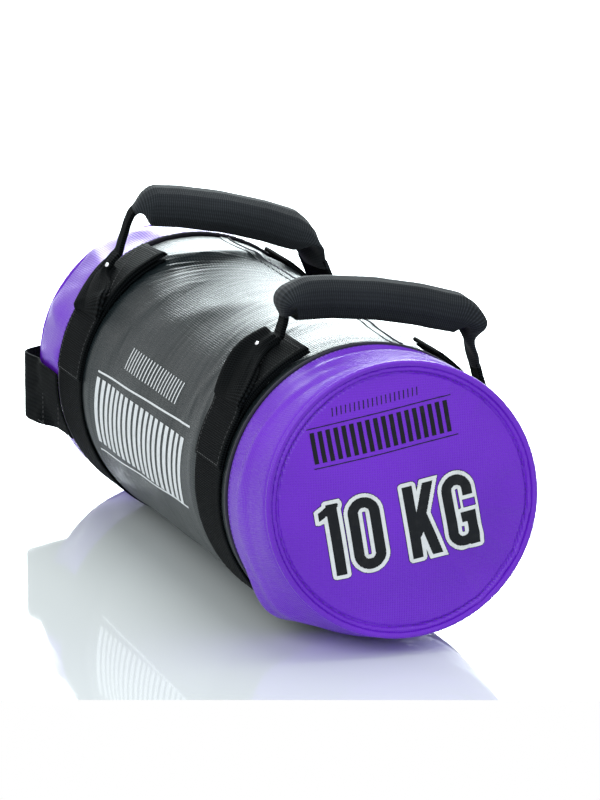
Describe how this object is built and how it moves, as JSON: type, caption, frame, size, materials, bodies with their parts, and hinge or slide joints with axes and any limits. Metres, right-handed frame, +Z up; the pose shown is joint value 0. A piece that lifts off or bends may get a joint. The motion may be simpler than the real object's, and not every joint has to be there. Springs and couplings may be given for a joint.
{
  "type": "fitness power bag",
  "caption": "Round padded vinyl training bag filled with sand, with padded webbing handles on top and a webbing loop across one end.",
  "frame": {"origin": "centre of the bag's bounding box on the floor, under the two girth straps", "axes": "+X along the bag towards the end that carries the weight mark, +Y towards the side on which the right ends of the handles are sewn, +Z up"},
  "size_m": [0.5637, 0.2081, 0.2438],
  "materials": {
    "black_vinyl": "satin coated vinyl with a fine weave",
    "purple_vinyl": "satin coated vinyl with a fine weave",
    "black_cord": "matt cord",
    "webbing": "matt ribbed polypropylene webbing",
    "sleeve_cloth": "matt ribbed cloth",
    "foam": "closed-cell foam, hidden",
    "padding": "fibre padding, hidden",
    "liner": "woven plastic liner, hidden",
    "sand": null,
    "rivet_steel": "bright plated steel"
  },
  "bodies": {
    "bag": {"body_cover": "black_vinyl", "body_lap_seam": "black_vinyl", "end_handle_left_anchor": "webbing", "end_handle_right_anchor": "webbing", "far_end_band": "purple_vinyl", "far_end_foam": "foam", "far_end_panel": "purple_vinyl", "far_girth_strap": "webbing", "far_left_anchor": "webbing", "far_left_rivet": "rivet_steel", "far_left_tab": "webbing", "far_panel_piping": "purple_vinyl", "far_right_anchor": "webbing", "far_right_rivet": "rivet_steel", "far_right_tab": "webbing", "far_ring_welt": "black_cord", "inner_liner": "liner", "near_end_band": "purple_vinyl", "near_end_foam": "foam", "near_end_panel": "purple_vinyl", "near_girth_strap": "webbing", "near_left_anchor": "webbing", "near_left_rivet": "rivet_steel", "near_left_tab": "webbing", "near_panel_piping": "purple_vinyl", "near_right_anchor": "webbing", "near_right_rivet": "rivet_steel", "near_right_tab": "webbing", "near_ring_welt": "black_cord", "padding_sleeve": "padding", "sand_fill": "sand"},
    "near_handle": {"near_handle_webbing": "webbing", "near_grip_sleeve": "sleeve_cloth", "near_grip_foam": "foam"},
    "far_handle": {"far_handle_webbing": "webbing", "far_grip_sleeve": "sleeve_cloth", "far_grip_foam": "foam"},
    "end_handle": {"end_handle_loop": "webbing"}
  },
  "joints": [
    {"name": "near_handle_swing", "type": "hinge", "parent": "bag", "child": "near_handle", "pos_m": [0.15238, -0.05134, 0.20016], "axis": [0.0826, 0.9551, -0.2844], "range_deg": [-24, 24]},
    {"name": "far_handle_swing", "type": "hinge", "parent": "bag", "child": "far_handle", "pos_m": [-0.15232, -0.06311, 0.19297], "axis": [0.0782, 0.9705, -0.2282], "range_deg": [-38, 8]},
    {"name": "end_handle_swing", "type": "hinge", "parent": "bag", "child": "end_handle", "pos_m": [-0.21792, 0, 0.0774], "axis": [0, 1, 0], "range_deg": [-20, 20]}
  ]
}
